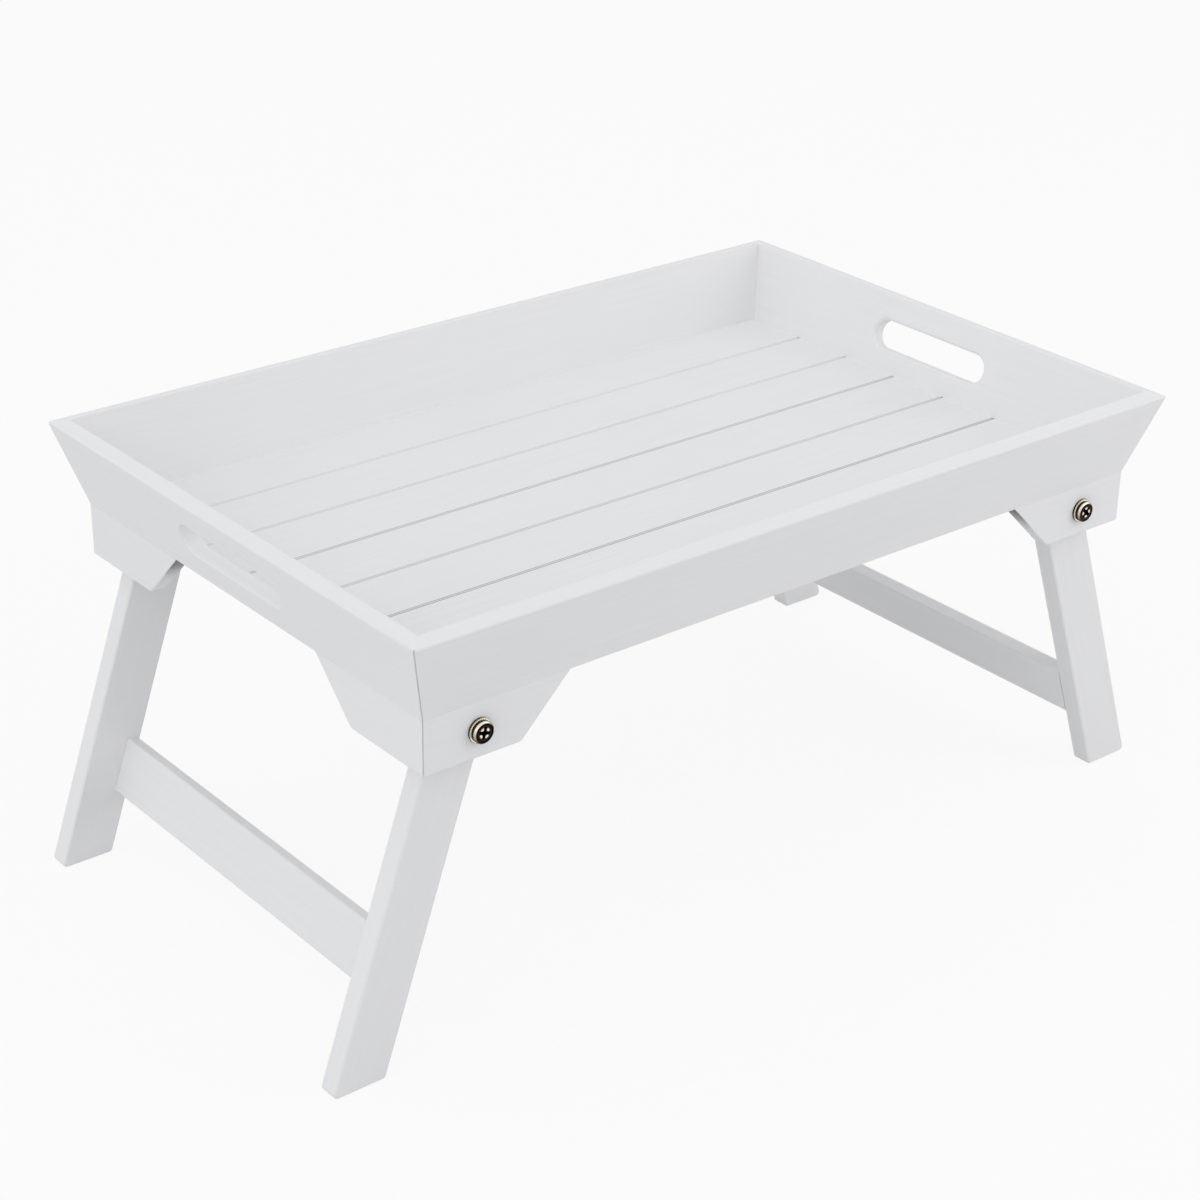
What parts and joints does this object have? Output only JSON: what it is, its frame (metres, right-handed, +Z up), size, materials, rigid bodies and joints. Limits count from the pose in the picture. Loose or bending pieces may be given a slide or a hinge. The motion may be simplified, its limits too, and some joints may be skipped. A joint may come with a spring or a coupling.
{
  "type": "bed tray table",
  "caption": "Folding bed tray table: flared wooden tray with handle slots and a boarded floor on hinged, splayed leg frames with crossbars.",
  "frame": {"origin": "on the surface the table stands on, under the middle of the tray, legs open", "axes": "+X along the long side of the tray, -Y to its front, +Z up"},
  "size_m": [0.5628, 0.3294, 0.2447],
  "materials": {
    "painted_wood": "satin white paint on solid wood",
    "painted_floor_boards": "satin white paint on thin lapped boards",
    "antique_brass": "dark antique brass plating, half bright",
    "zinc_plated_steel": "bright zinc plating",
    "nylon": "natural white nylon"
  },
  "bodies": {
    "tray": {"front_wall": "painted_wood", "back_wall": "painted_wood", "left_end_wall": "painted_wood", "right_end_wall": "painted_wood", "floor_board_1": "painted_floor_boards", "floor_board_2": "painted_floor_boards", "floor_board_3": "painted_floor_boards", "floor_board_4": "painted_floor_boards", "floor_board_5": "painted_floor_boards", "floor_board_6": "painted_floor_boards", "floor_board_7": "painted_floor_boards", "floor_batten_left": "painted_wood", "floor_batten_right": "painted_wood", "bracket_front_left": "painted_wood", "bracket_front_right": "painted_wood", "bracket_back_left": "painted_wood", "bracket_back_right": "painted_wood", "end_bracket_left_front": "painted_wood", "end_bracket_left_back": "painted_wood", "end_bracket_right_front": "painted_wood", "end_bracket_right_back": "painted_wood", "pivot_bolts": "antique_brass", "pivot_head_washers": "antique_brass", "pivot_spacers": "nylon", "pivot_inner_washers": "zinc_plated_steel", "pivot_nuts": "zinc_plated_steel"},
    "left_leg_frame": {"left_front_leg": "painted_wood", "left_back_leg": "painted_wood", "left_crossbar": "painted_wood"},
    "right_leg_frame": {"right_front_leg": "painted_wood", "right_back_leg": "painted_wood", "right_crossbar": "painted_wood"}
  },
  "joints": [
    {"name": "left_leg_fold", "type": "hinge", "parent": "tray", "child": "left_leg_frame", "pos_m": [-0.20432, 0, 0.18214], "axis": [0, -1, 0], "range_deg": [0, 109]},
    {"name": "right_leg_fold", "type": "hinge", "parent": "tray", "child": "right_leg_frame", "pos_m": [0.20432, 0, 0.18214], "axis": [0, 1, 0], "range_deg": [0, 109]}
  ]
}
